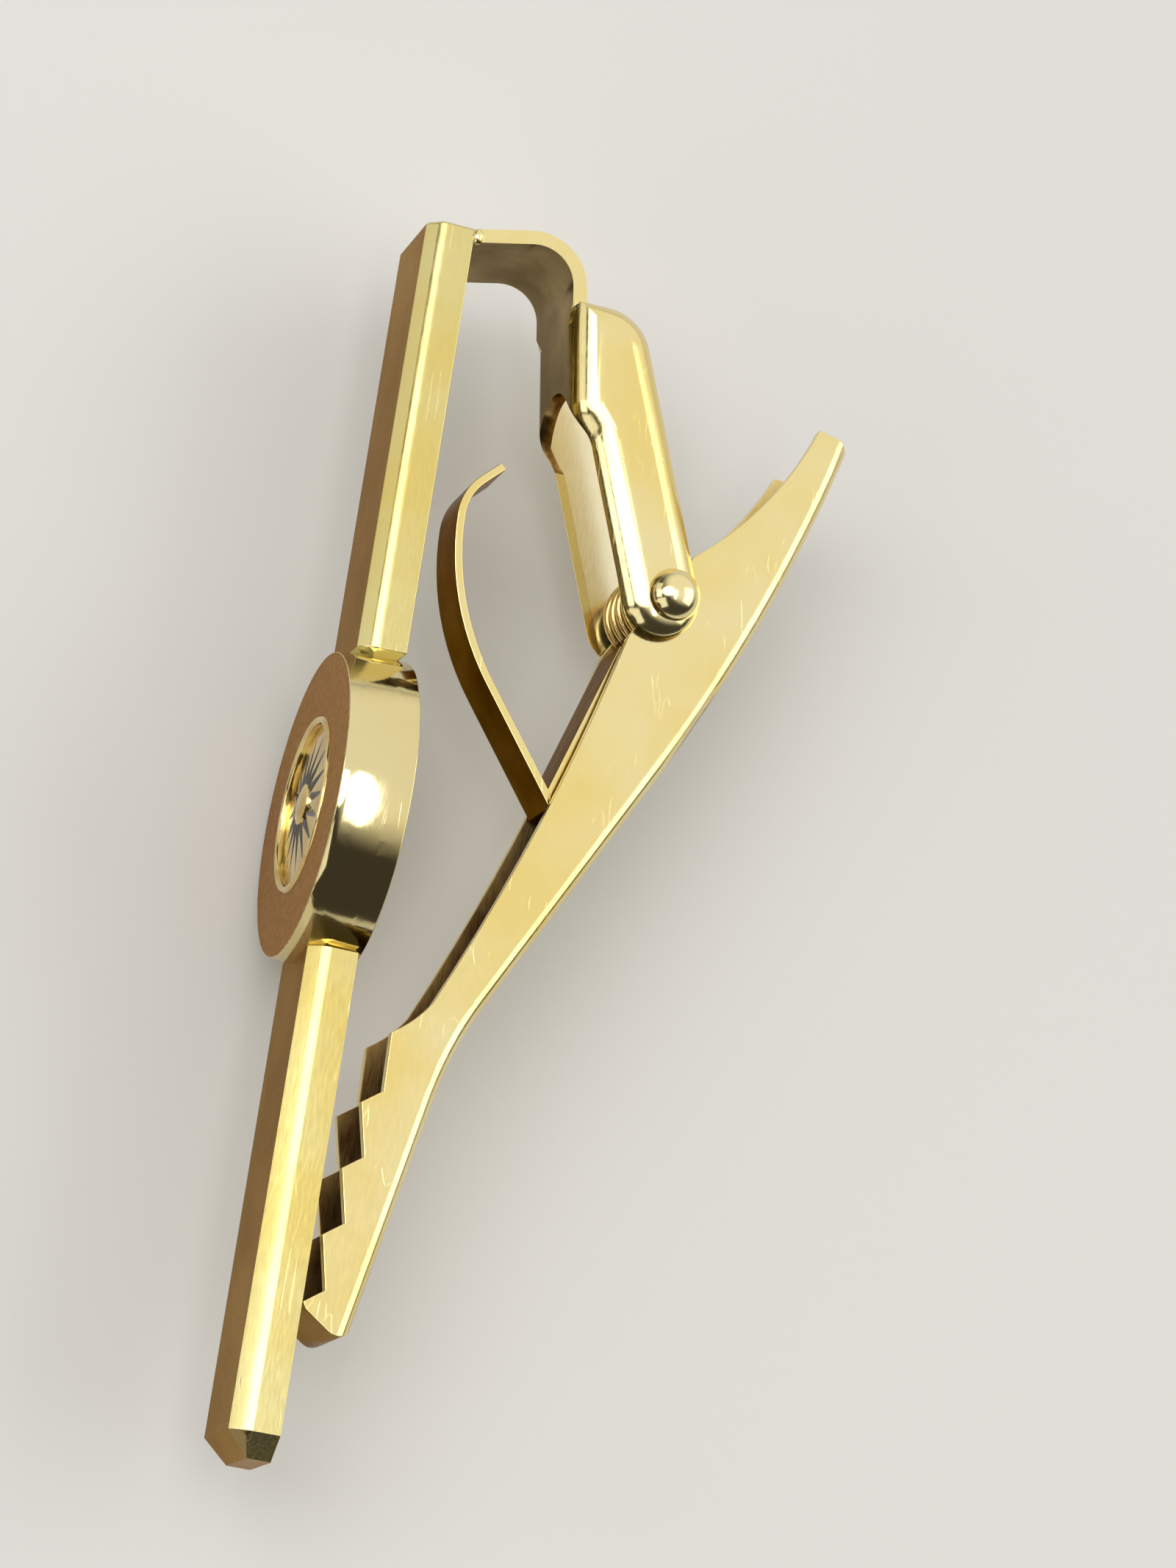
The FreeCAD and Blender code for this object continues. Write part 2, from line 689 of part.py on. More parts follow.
def spring_leg(seat, outward, centre, left, height):
    """Straight end on its seat, a bend, and a straight run to the coil, listed from the seat."""
    wire = s.wire_diameter.value
    bend = s.wire_bend.value
    corner = seat + outward * (wire + bend)
    touch = tangent_point(corner, centre, s.coil_radius.value, left)
    run = (touch - corner).normalize()
    turn = math.acos(outward.dot(run))
    trim = bend * math.tan(turn / 2)
    bend_start, bend_end = corner - outward * trim, corner + run * trim
    lifted = [FreeCAD.Vector(p.x, p.y, height) for p in (seat, bend_start, corner, bend_end, touch)]
    edges = [Part.LineSegment(lifted[0], lifted[1]).toShape(),
             tangent_arc(lifted[1], lifted[2], lifted[3]),
             Part.LineSegment(lifted[3], lifted[4]).toShape()]
    return edges, touch


def coil_arcs(centre, start_angle, turn, top):
    """Quarter-turn biarcs of the helix, downwards from top."""
    radius = s.coil_radius.value
    fall = 2 * top / turn
    count = math.ceil(turn / (2 * math.pi) * turn_arc_count)

    def place(part):
        angle = start_angle + turn * part / count
        drop = FreeCAD.Vector(0, 0, top - fall * turn * part / count)
        spot = centre + FreeCAD.Vector(radius * math.cos(angle), radius * math.sin(angle), 0) + drop
        slope = fall if 0 < part < count else 0
        heading = FreeCAD.Vector(-radius * math.sin(angle), radius * math.cos(angle), -slope)
        return spot, heading.normalize()

    arcs = []
    for part in range(count):
        arcs += biarc(*place(part), *place(part + 1))
    return arcs


def least_gap(path, diameter):
    """Smallest clear distance of the wire to itself, measured on points over a half turn apart."""
    points = path.discretize(Number=gap_sample_count)
    apart = math.pi * s.coil_radius.value
    stride = path.Length / (gap_sample_count - 1)
    skip = math.ceil(apart / stride)
    return min((points[i] - points[j]).Length for i in range(len(points))
               for j in range(i - skip)) - diameter


def make_spring():
    centre = flat(pivot)
    wire = s.wire_diameter.value
    web_angle = math.radians(s.web_slope_angle.value)
    web_normal = FreeCAD.Vector(-math.sin(web_angle), math.cos(web_angle), 0)
    gap = s.wire_seat_gap.value
    web_seat = flat(step(arch_outer_end, s.web_leg_seat, s.web_slope_angle)) + web_normal * gap
    spine = flat(shift(back_start, pivot_x, pivot_y - s.jaw_sheet)), flat(
        shift(tail_back, pivot_x, pivot_y - s.jaw_sheet))
    along = (spine[1] - spine[0]).normalize()
    spine_normal = FreeCAD.Vector(-along.y, along.x, 0)
    chord = (spine[1] - spine[0]).Length
    radius = s.back_curve.value
    spine_middle = (spine[0] + spine[1]) * 0.5
    spine_centre = spine_middle + spine_normal * math.sqrt(radius ** 2 - chord ** 2 / 4)
    from_middle = chord / 2 - s.tail_leg_seat.value
    swing = from_middle / radius
    inwards = spine_normal * math.cos(swing) - along * math.sin(swing)
    tail_seat = spine_centre - inwards * (radius - gap)
    _, touch_up = spring_leg(web_seat, web_normal, centre, False, 0)
    _, touch_down = spring_leg(tail_seat, inwards, centre, True, 0)
    start_angle = math.atan2(touch_up.y - centre.y, touch_up.x - centre.x)
    end_angle = math.atan2(touch_down.y - centre.y, touch_down.x - centre.x)
    turn = (end_angle - start_angle) % (2 * math.pi) + 2 * math.pi * coil_turn_count
    top = (jaw_inner_width - s.wire_diameter).value / 2 - s.coil_side_gap.value
    leg_up, _ = spring_leg(web_seat, web_normal, centre, False, top)
    leg_down, _ = spring_leg(tail_seat, inwards, centre, True, -top)
    edges = leg_up + coil_arcs(centre, start_angle, turn, top) + leg_down[::-1]
    path = Part.Wire(Part.__sortEdges__(edges))
    section = Part.Wire(Part.Circle(flat((zero, zero)), FreeCAD.Vector(0, 0, 1), wire / 2).toShape())
    section.Placement = FreeCAD.Placement(
        FreeCAD.Vector(web_seat.x, web_seat.y, top), FreeCAD.Rotation(FreeCAD.Vector(0, 0, 1), web_normal))
    tube = path.makePipeShell([section], True, False)
    print(f"spring least gap {least_gap(path, wire):.3f} mm, "
          f"volume share {tube.Volume / (math.pi * wire ** 2 / 4 * path.Length):.4f}")
    feature = doc.addObject("Part::Feature", "torsion_spring")
    feature.Label = "torsion_spring"
    feature.Shape = tube
    return feature


torsion_spring = make_spring()


# Check every object, then write each piece

doc.recompute()
failed = [item.Name for item in doc.Objects if "Invalid" in item.State or "Error" in item.State]
if failed:
    raise RuntimeError(f"failed objects: {failed}")
pieces = [upper_bar, lower_bar, medallion_case, emblem_ring, emblem_plate, yoke, jaw, hinge_rivet,
          torsion_spring, tie_tongue]
os.makedirs("parts", exist_ok=True)
for piece in pieces:
    shape = piece.Shape
    if shape.isNull() or not shape.isValid():
        raise RuntimeError(f"bad shape: {piece.Label}")
    shape.exportStep(f"parts/{piece.Label}.step")
    box = shape.BoundBox
    print(f"{piece.Label}: solids {len(shape.Solids)}, volume {shape.Volume:.2f}, "
          f"x {box.XMin:.2f}..{box.XMax:.2f}, y {box.YMin:.2f}..{box.YMax:.2f}, "
          f"z {box.ZMin:.2f}..{box.ZMax:.2f}")
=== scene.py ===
import bpy
import math
from mathutils import Matrix, Vector


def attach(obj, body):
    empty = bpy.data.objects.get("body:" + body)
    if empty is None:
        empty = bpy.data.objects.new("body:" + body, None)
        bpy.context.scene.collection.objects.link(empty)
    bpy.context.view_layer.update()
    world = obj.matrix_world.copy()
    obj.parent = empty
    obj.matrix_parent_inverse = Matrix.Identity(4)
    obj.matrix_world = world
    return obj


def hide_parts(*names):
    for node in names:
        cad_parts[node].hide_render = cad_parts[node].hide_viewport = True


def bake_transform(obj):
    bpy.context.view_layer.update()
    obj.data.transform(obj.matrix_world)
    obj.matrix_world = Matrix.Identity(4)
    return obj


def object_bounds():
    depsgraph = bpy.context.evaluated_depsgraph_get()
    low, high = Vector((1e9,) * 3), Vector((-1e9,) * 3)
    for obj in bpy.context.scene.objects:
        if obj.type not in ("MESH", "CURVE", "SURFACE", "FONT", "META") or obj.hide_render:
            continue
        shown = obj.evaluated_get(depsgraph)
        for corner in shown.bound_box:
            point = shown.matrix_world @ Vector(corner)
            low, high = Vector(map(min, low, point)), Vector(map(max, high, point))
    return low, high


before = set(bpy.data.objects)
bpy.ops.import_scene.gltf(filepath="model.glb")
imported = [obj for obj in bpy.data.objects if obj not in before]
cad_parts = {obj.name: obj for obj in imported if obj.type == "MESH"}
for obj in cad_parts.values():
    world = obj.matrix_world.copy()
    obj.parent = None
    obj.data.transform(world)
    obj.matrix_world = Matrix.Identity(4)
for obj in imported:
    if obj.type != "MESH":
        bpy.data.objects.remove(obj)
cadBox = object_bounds()
mm = 0.001
even = (1, 1, 1)  # a pattern that isn't stretched
straight = (0, 0, 0)  # a pattern that isn't turned
print("frame loaded:", ", ".join(sorted(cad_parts)))


def editMode():
    bpy.ops.object.mode_set(mode="EDIT")


def editDone():
    bpy.ops.object.mode_set(mode="OBJECT")


def editAll(piece, mode="EDGE"):
    bpy.ops.object.select_all(action="DESELECT")
    piece.select_set(True)
    bpy.context.view_layer.objects.active = piece
    editMode()
    bpy.ops.mesh.select_mode(type=mode)
    bpy.ops.mesh.select_all(action="SELECT")


# every pattern reads Object coordinates, in millimetres, so it stays on the metal
class Graph:
    def __init__(self, name):
        self.material = bpy.data.materials.new(name)
        self.material.use_nodes = True
        self.tree = self.material.node_tree
        self.shader = self.tree.nodes["Principled BSDF"]
        self.place = self.add("ShaderNodeTexCoord").outputs["Object"]

    def add(self, kind, **settings):
        node = self.tree.nodes.new(kind)
        for key, value in settings.items():
            setattr(node, key, value)
        return node

    def link(self, source, target):
        self.tree.links.new(source, target)

    def inMillimetres(self, stretch=even, turn=straight):
        node = self.add("ShaderNodeMapping")
        node.inputs["Scale"].default_value = [s / mm for s in stretch]
        node.inputs["Rotation"].default_value = [math.radians(a) for a in turn]
        self.link(self.place, node.inputs["Vector"])
        return node.outputs["Vector"]

    def grain(self, stretch, scale, detail, turn=straight):
        node = self.add("ShaderNodeTexNoise")
        node.inputs["Scale"].default_value = scale
        node.inputs["Detail"].default_value = detail
        self.link(self.inMillimetres(stretch, turn), node.inputs["Vector"])
        return node.outputs["Fac"]

    def spread(self, value, low, high, fromLow=0.35, fromHigh=0.65):  # most of a noise lies in this range
        node = self.add("ShaderNodeMapRange")
        node.inputs["From Min"].default_value = fromLow
        node.inputs["From Max"].default_value = fromHigh
        node.inputs["To Min"].default_value = low
        node.inputs["To Max"].default_value = high
        self.link(value, node.inputs["Value"])
        return node.outputs["Result"]

    def sums(self, operation, first, second):
        node = self.add("ShaderNodeMath", operation=operation)
        for socket, value in zip(node.inputs, (first, second)):
            if isinstance(value, (int, float)):
                socket.default_value = value
            else:
                self.link(value, socket)
        return node.outputs["Value"]

    def alongBar(self):
        node = self.add("ShaderNodeSeparateXYZ")
        self.link(self.inMillimetres(), node.inputs["Vector"])
        return node.outputs["X"]

    def tint(self, factor, first, second):
        node = self.add("ShaderNodeMix", data_type="RGBA")
        self.link(factor, node.inputs["Factor"])
        for socket, colour in ((node.inputs[6], first), (node.inputs[7], second)):  # the colour sockets
            if isinstance(colour, tuple):
                socket.default_value = (*colour, 1)
            else:
                self.link(colour, socket)
        return node.outputs[2]

    def bumps(self, height, distance, below=None):
        node = self.add("ShaderNodeBump")
        node.inputs["Distance"].default_value = distance
        self.link(height, node.inputs["Height"])
        if below:
            self.link(below, node.inputs["Normal"])
        return node.outputs["Normal"]


def goldPlate(name, look):
    paint = Graph(name)
    cloud = paint.spread(paint.grain(even, look["cloudScale"], look["cloudDetail"]), 0, 1)
    fine = paint.grain(look["scratchStretch"], look["scratchScale"], look["scratchDetail"], look["scratchTurn"])
    # a few hairlines: a narrow band of a stretched noise, broken up by the wear
    hair = paint.grain(look["hairStretch"], look["hairScale"], look["hairDetail"], look["scratchTurn"])
    away = paint.sums("ABSOLUTE", paint.sums("SUBTRACT", hair, 0.5), 0)
    hairline = paint.spread(away, 1, 0, 0, look["hairWidth"])
    worn = paint.spread(paint.grain(even, look["wearScale"], look["wearDetail"]), 0, 1, *look["wearSpan"])
    hairline = paint.sums("MULTIPLY", hairline, worn)
    rough = paint.spread(fine, *look["roughness"])
    rough = paint.sums("ADD", rough, paint.sums("MULTIPLY", hairline, look["hairRough"]))
    paint.link(rough, paint.shader.inputs["Roughness"])
    paint.link(paint.tint(cloud, look["pale"], look["deep"]), paint.shader.inputs["Base Color"])
    paint.shader.inputs["Metallic"].default_value = 1.0
    soft = paint.bumps(paint.grain(even, look["waveScale"], look["waveDetail"]), look["waveHeight"])
    lines = paint.bumps(fine, look["scratchHeight"], soft)
    cuts = paint.bumps(paint.sums("MULTIPLY", hairline, -1), look["hairHeight"], lines)
    paint.link(cuts, paint.shader.inputs["Normal"])
    return paint.material


plateLook = {
    "cloudScale": 0.16, "cloudDetail": 3, "roughness": (0.13, 0.2),
    "scratchStretch": (0.15, 1, 1), "scratchScale": 9.0, "scratchDetail": 5, "scratchTurn": straight,
    "scratchHeight": 0.0007 * mm,
    "hairStretch": (0.08, 1, 1), "hairScale": 1.1, "hairDetail": 1, "hairWidth": 0.012, "hairRough": 0.12,
    "hairHeight": 0.003 * mm,
    "wearScale": 0.35, "wearDetail": 2, "wearSpan": (0.5, 0.6),
    "waveScale": 0.25, "waveDetail": 1, "waveHeight": 0.02 * mm,
}
# painted shade: the bars' gold is a darker copy of the clip's gold
barGold = goldPlate("barGold", plateLook | {
    "pale": (0.73, 0.64, 0.29), "deep": (0.73, 0.58, 0.19), "roughness": (0.17, 0.25)})
clipGold = goldPlate("clipGold", plateLook | {
    "pale": (0.86, 0.75, 0.41), "deep": (0.84, 0.67, 0.25), "roughness": (0.11, 0.18), "cloudScale": 0.14,
    "scratchTurn": (0, 0, 24), "hairStretch": (0.3, 1, 1), "waveScale": 0.18})
# painted shade: the medallion's gold is a deeper copy of the clip's gold, which dims the wall's reflections
mirrorGold = goldPlate("mirrorGold", plateLook | {
    "pale": (0.76, 0.66, 0.36), "deep": (0.74, 0.6, 0.27), "roughness": (0.07, 0.11),
    "scratchHeight": 0.0002 * mm, "hairHeight": 0.001 * mm, "hairRough": 0.05, "waveHeight": 0.004 * mm})
wireGold = goldPlate("wireGold", plateLook | {
    "pale": (0.82, 0.62, 0.27), "deep": (0.74, 0.52, 0.18), "roughness": (0.14, 0.24), "cloudScale": 0.6,
    "scratchStretch": even})
emblemGold = goldPlate("emblemGold", plateLook | {
    "pale": (0.86, 0.68, 0.3), "deep": (0.6, 0.42, 0.14), "roughness": (0.08, 0.16), "cloudScale": 0.5,
    "scratchStretch": even, "waveHeight": 0.01 * mm})


def brushed(name, look):
    paint = Graph(name)
    strokes = paint.grain(look["strokeStretch"], look["strokeScale"], look["strokeDetail"], look["strokeTurn"])
    patch = paint.spread(paint.grain(even, look["patchScale"], look["patchDetail"]), 0, 1)
    colour = paint.tint(patch, look["bright"], look["darkerTone"])
    if "litTone" in look:  # painted light: a lighter tone towards one end
        colour = paint.tint(paint.spread(paint.alongBar(), 1, 0, *look["litToneSpan"]), colour, look["litTone"])
    paint.link(colour, paint.shader.inputs["Base Color"])
    paint.link(paint.spread(strokes, *look["roughness"]), paint.shader.inputs["Roughness"])
    paint.shader.inputs["Metallic"].default_value = 1.0
    paint.shader.inputs["Specular Tint"].default_value = (*look["edgeTint"], 1)
    paint.link(paint.bumps(strokes, look["strokeHeight"]), paint.shader.inputs["Normal"])
    return paint.material


annulusLook = {
    "bright": (0.48, 0.31, 0.15), "darkerTone": (0.37, 0.22, 0.105), "edgeTint": (0.7, 0.52, 0.39),
    "patchScale": 4.5, "patchDetail": 8, "roughness": (0.3, 0.48),
    "strokeStretch": (0.8, 1, 1), "strokeScale": 14.0, "strokeDetail": 6, "strokeTurn": (0, 14, 0),
    "strokeHeight": 0.008 * mm,
}
annulusGold = brushed("annulusGold", annulusLook)
# painted dark reflection: a dark amber gold for the bars' fronts, the lower bar's free end and the jaw's nose
darkReflectionGold = brushed("darkReflectionGold", annulusLook | {
    "bright": (0.38, 0.28, 0.115), "darkerTone": (0.28, 0.195, 0.08), "patchScale": 0.2, "patchDetail": 3,
    "roughness": (0.2, 0.3), "strokeStretch": (0.1, 1, 1), "strokeScale": 10.0, "strokeTurn": straight,
    "strokeHeight": 0.002 * mm})
# painted shade inside the jaw's channel, with painted light on its tail end
channelShadeGold = brushed("channelShadeGold", annulusLook | {
    "bright": (0.36, 0.23, 0.08), "darkerTone": (0.17, 0.095, 0.032), "patchScale": 0.4, "roughness": (0.3, 0.45),
    "strokeStretch": (0.1, 1, 1), "strokeTurn": (0, 0, 24), "strokeHeight": 0.003 * mm,
    "litTone": (0.86, 0.7, 0.33), "litToneSpan": (-17, 2)})
# painted shade: a near-black bronze for the tongue's broad faces, standing in for the shadow between bar and
# tongue and a dark reflection
tongueShadeGold = brushed("tongueShadeGold", annulusLook | {
    "bright": (0.16, 0.09, 0.028), "darkerTone": (0.055, 0.028, 0.009), "patchScale": 0.25, "roughness": (0.16, 0.3),
    "strokeStretch": (0.06, 0.06, 1), "strokeTurn": straight, "strokeHeight": 0.003 * mm})
# painted dark reflection: a dark brown for the rolled lip round the notch's arch
lipShadeGold = brushed("lipShadeGold", annulusLook | {
    "bright": (0.42, 0.28, 0.11), "darkerTone": (0.2, 0.115, 0.04), "patchScale": 0.7, "roughness": (0.14, 0.26),
    "strokeStretch": (0.3, 0.3, 1), "strokeTurn": straight, "strokeHeight": 0.003 * mm})
# painted shade: a dark gold for the web's front and the inside of the arch
webShadeGold = brushed("webShadeGold", annulusLook | {
    "bright": (0.32, 0.245, 0.125), "darkerTone": (0.15, 0.11, 0.055), "edgeTint": (0.8, 0.72, 0.6),
    "patchScale": 0.3, "roughness": (0.18, 0.28),
    "strokeStretch": (0.1, 0.1, 1), "strokeTurn": straight, "strokeHeight": 0.002 * mm})
# painted highlight: a pale, white-tinted gold on the ears' inner faces
earHighlightGold = brushed("earHighlightGold", annulusLook | {
    "bright": (0.95, 0.88, 0.66), "darkerTone": (0.92, 0.82, 0.55), "edgeTint": (1, 1, 1),
    "patchScale": 0.3, "roughness": (0.16, 0.24),
    "strokeStretch": (0.1, 1, 1), "strokeTurn": (0, 0, 20), "strokeHeight": 0.0008 * mm})


def lacquer(name, look):
    paint = Graph(name)
    cloud = paint.spread(paint.grain(even, look["cloudScale"], look["cloudDetail"]), 0, 1)
    paint.link(paint.tint(cloud, look["deep"], look["warm"]), paint.shader.inputs["Base Color"])
    paint.shader.inputs["Roughness"].default_value = look["roughness"]
    paint.shader.inputs["Coat Weight"].default_value = look["coat"]
    paint.shader.inputs["Coat Roughness"].default_value = look["coatRoughness"]
    return paint.material


inlayLacquer = lacquer("inlayLacquer", {
    "deep": (0.012, 0.008, 0.005), "warm": (0.035, 0.02, 0.008), "cloudScale": 0.8, "cloudDetail": 2,
    "roughness": 0.12, "coat": 0.6, "coatRoughness": 0.04})
print("finishes made")


def choose(piece, mode, test):
    bpy.ops.mesh.select_mode(type=mode)
    bpy.ops.mesh.select_all(action="DESELECT")
    editDone()
    items = piece.data.vertices if mode == "VERT" else piece.data.edges
    for item in items:
        item.select = test(item)
    chosen = sum(item.select for item in items)
    editMode()
    return chosen


def facesAt(mesh):
    sides = {}
    for face in mesh.polygons:
        for key in face.edge_keys:
            sides.setdefault(key, []).append(face.normal)
    return sides


def rollEdges(piece, wanted, look):
    editDone()  # brings the merged mesh up to date
    sides = facesAt(piece.data)
    spots = [point.co / mm for point in piece.data.vertices]
    editMode()

    def onEdge(edge):
        return len(sides[edge.key]) == 2 and wanted(
            (spots[edge.vertices[0]] + spots[edge.vertices[1]]) / 2, *sides[edge.key])

    rolled = choose(piece, "EDGE", onEdge)
    bpy.ops.mesh.bevel(offset=look["width"], segments=look["segments"], clamp_overlap=look["clamp"])
    print("rolled", rolled, "edges of", piece.name)


# a copy of a CAD piece with the edges that a polishing wheel leaves; angles in degrees
wheel = {"double": 0.002 * mm, "flat": 0.3, "sharp": 28, "segments": 2, "smooth": 50}


def wheeled(node, finish, edge, sharp=wheel["sharp"], shape=None, merge=0):
    piece = bpy.data.objects.new(node + "Polished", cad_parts[node].data.copy())
    bpy.context.scene.collection.objects.link(piece)
    editAll(piece)
    bpy.ops.mesh.customdata_custom_splitnormals_clear()
    bpy.ops.mesh.remove_doubles(threshold=wheel["double"])
    bpy.ops.mesh.dissolve_limited(angle_limit=math.radians(wheel["flat"]))
    if shape:
        shape(piece)
    if edge:
        bpy.ops.mesh.select_mode(type="EDGE")
        bpy.ops.mesh.select_all(action="DESELECT")
        bpy.ops.mesh.edges_select_sharp(sharpness=math.radians(sharp))
        bpy.ops.mesh.bevel(offset=edge, segments=wheel["segments"], clamp_overlap=True)
    if merge:  # slivers at crowded corners
        bpy.ops.mesh.select_all(action="SELECT")
        bpy.ops.mesh.remove_doubles(threshold=merge)
    editDone()
    bpy.ops.object.shade_smooth_by_angle(angle=math.radians(wheel["smooth"]))
    bpy.ops.object.modifier_add(type="WEIGHTED_NORMAL")
    piece.modifiers[-1].keep_sharp = True
    bpy.ops.object.modifier_apply(modifier=piece.modifiers[-1].name)
    piece.data.materials.clear()
    piece.data.materials.append(finish)
    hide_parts(node)
    print("polished", node, len(piece.data.polygons), "faces")
    return piece


def finishWhere(piece, finish, test):  # a second finish on the faces that the test picks
    piece.data.materials.append(finish)
    index = len(piece.data.materials) - 1
    for face in piece.data.polygons:
        if test(face.center / mm, face.normal):
            face.material_index = index


# bars: rounded between the bevels and the sides, with a painted dark reflection on the front and round the free
# end
barSet = {
    "edge": 0.05 * mm, "round": {"width": 0.35 * mm, "segments": 6, "clamp": False},
    "along": 0.2, "side": 0.95, "bevel": (-0.95, -0.3), "front": -0.9,
    "endFrom": 22, "slantAlong": 0.3, "slantFront": -0.1, "capAlong": 0.7, "capTop": 0.3,
}


def onBarEdge(middle, first, second):
    side, bevel = sorted((first, second), key=lambda way: -abs(way.z))
    lengthwise = max(abs(first.x), abs(second.x)) < barSet["along"]
    return lengthwise and abs(side.z) > barSet["side"] and barSet["bevel"][0] < bevel.y < barSet["bevel"][1]


def roundBar(piece):
    rollEdges(piece, onBarEdge, barSet["round"])


def facesFront(spot, way):
    return way.y < barSet["front"]


def frontOrEnd(spot, way):
    slant = way.x > barSet["slantAlong"] and way.y < barSet["slantFront"]
    cap = way.x > barSet["capAlong"] and way.z < barSet["capTop"]
    return facesFront(spot, way) or (spot.x > barSet["endFrom"] and (slant or cap))


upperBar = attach(wheeled("upper_bar", barGold, barSet["edge"], shape=roundBar), "bar")
finishWhere(upperBar, darkReflectionGold, facesFront)
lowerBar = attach(wheeled("lower_bar", barGold, barSet["edge"], shape=roundBar), "bar")
finishWhere(lowerBar, darkReflectionGold, frontOrEnd)

# medallion: a slight crown on the wall rounds its highlight
drumCrown = {"front": -3.39, "back": -0.3, "rings": 9, "rise": 0.0075, "inside": 7.0, "near": 0.0006}


def crownDrum(piece):
    front, depth = drumCrown["front"], drumCrown["back"] - drumCrown["front"]

    def onWall(point):
        return math.hypot(point.co.x, point.co.z) > drumCrown["inside"] * mm

    for ring in range(1, drumCrown["rings"]):
        bpy.ops.mesh.select_all(action="SELECT")
        level = front + depth * ring / drumCrown["rings"]
        bpy.ops.mesh.bisect(plane_co=(0, level * mm, 0), plane_no=(0, 1, 0))
    editDone()
    wall = [point.co.y / mm for point in piece.data.vertices if onWall(point)]
    editMode()
    levels = sorted({round(y, 3) for y in wall if front < y < drumCrown["back"]})
    for level in levels:
        fromMiddle = 2 * (level - front) / depth - 1
        share = 1 + drumCrown["rise"] * (1 - fromMiddle ** 2)
        choose(piece, "VERT", lambda point: abs(point.co.y / mm - level) < drumCrown["near"] and onWall(point))
        bpy.ops.transform.resize(value=(share, 1, share), center_override=(0, 0, 0))
    print("crowned", piece.name, len(levels), "rings")


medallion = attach(wheeled("medallion_case", mirrorGold, 0, shape=crownDrum), "bar")
finishWhere(medallion, annulusGold, facesFront)

# emblem: lacquer on the walls of the grooves, which face round the middle
emblemSet = {"edge": 0.03 * mm, "grooveWall": 0.3}


def inGroove(spot, way):
    return abs(way.z * spot.x - way.x * spot.z) > emblemSet["grooveWall"] * math.hypot(spot.x, spot.z)


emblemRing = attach(wheeled("emblem_ring", emblemGold, emblemSet["edge"]), "bar")
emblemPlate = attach(wheeled("emblem_plate", emblemGold, emblemSet["edge"]), "bar")
finishWhere(emblemPlate, inlayLacquer, inGroove)

# yoke: a rolled lip round the notch, and the strip's end corners drawn back so that it runs into the fold
yokeSet = {
    "edge": 0.07 * mm, "lip": {"width": 0.45 * mm, "segments": 4, "clamp": True},
    "notchCentre": -20.618, "notchRadius": 2.9, "notchReach": 0.02, "cut": 0.05, "lipFront": -0.2,
    "stripEnd": (-26.545, 5.535, 3.1), "stripReach": 0.2, "stripLevel": 0.02, "stripBack": (-0.85, -0.12, 0),
    "webTilt": 0.35, "webBack": 10.5, "archEnd": -28.0,
    "earHalf": 3.05, "earReach": 0.05, "earFlat": 0.9,
    "brownReach": 0.42, "brownEnd": -20.3, "brownNear": 1.6, "brownBack": 0.3,
}


def fromNotch(spot):
    return math.hypot(min(spot.x - yokeSet["notchCentre"], 0), spot.z) - yokeSet["notchRadius"]


def onNotchLip(middle, first, second):
    cut, front = sorted((first, second), key=lambda way: abs(way.y))
    onNotch = abs(fromNotch(middle)) < yokeSet["notchReach"]
    return onNotch and abs(cut.y) < yokeSet["cut"] and front.y < yokeSet["lipFront"]


def onStripEnd(point):
    spot = point.co / mm
    x, y, z = yokeSet["stripEnd"]
    near = math.hypot(spot.x - x, spot.y - y) < yokeSet["stripReach"]
    return near and abs(abs(spot.z) - z) < yokeSet["stripLevel"]


def foldYoke(piece):
    print("strip corners drawn back:", choose(piece, "VERT", onStripEnd))
    bpy.ops.transform.translate(value=[c * mm for c in yokeSet["stripBack"]])
    rollEdges(piece, onNotchLip, yokeSet["lip"])


def inWeb(spot, way):
    tilt = yokeSet["webTilt"]
    if abs(way.z) > tilt or spot.y > yokeSet["webBack"]:
        return False
    return way.y < -tilt or (way.x > tilt and spot.x < yokeSet["archEnd"])


def inEars(spot, way):
    inwards = way.z * spot.z < 0 and abs(way.z) > yokeSet["earFlat"]
    return inwards and abs(abs(spot.z) - yokeSet["earHalf"]) < yokeSet["earReach"]


# the part of the notch's rolled lip that gets the painted dark reflection
def onShadedLip(spot, way):
    if spot.x >= yokeSet["brownEnd"] or spot.z >= yokeSet["brownNear"]:
        return False
    return fromNotch(spot) < yokeSet["brownReach"] and way.y < yokeSet["brownBack"]


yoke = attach(wheeled("yoke", clipGold, yokeSet["edge"], shape=foldYoke), "bar")
finishWhere(yoke, webShadeGold, inWeb)
finishWhere(yoke, earHighlightGold, inEars)
finishWhere(yoke, lipShadeGold, onShadedLip)

rivetSet = {"edge": 0.03 * mm}
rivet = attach(wheeled("hinge_rivet", clipGold, rivetSet["edge"]), "bar")

# jaw: two uneven rows of points on the rounded spine are taken out, behind a line along it
jawSet = {
    "edge": 0.06 * mm, "sharp": 50, "merge": 0.015 * mm,
    "rowsAlong": (-9.0, -6.0), "rowsAcross": (1.79, 2.33), "rowsFrom": (-8.344, 14.98), "rowsSlope": -0.483,
    "half": 1.99, "rim": 0.1, "outside": 0.3,
    "noseEnd": 24.5, "noseDepth": 1.5, "noseAlong": 0.5, "noseTop": 0.5,
}


def onSpineRow(point):
    spot = point.co / mm
    x, y = jawSet["rowsFrom"]
    along = jawSet["rowsAlong"][0] < spot.x < jawSet["rowsAlong"][1]
    across = jawSet["rowsAcross"][0] < abs(spot.z) < jawSet["rowsAcross"][1]
    return along and across and spot.y > y + jawSet["rowsSlope"] * (spot.x - x)


def evenSpine(piece):
    print("spine points taken out:", choose(piece, "VERT", onSpineRow))
    bpy.ops.mesh.dissolve_verts()


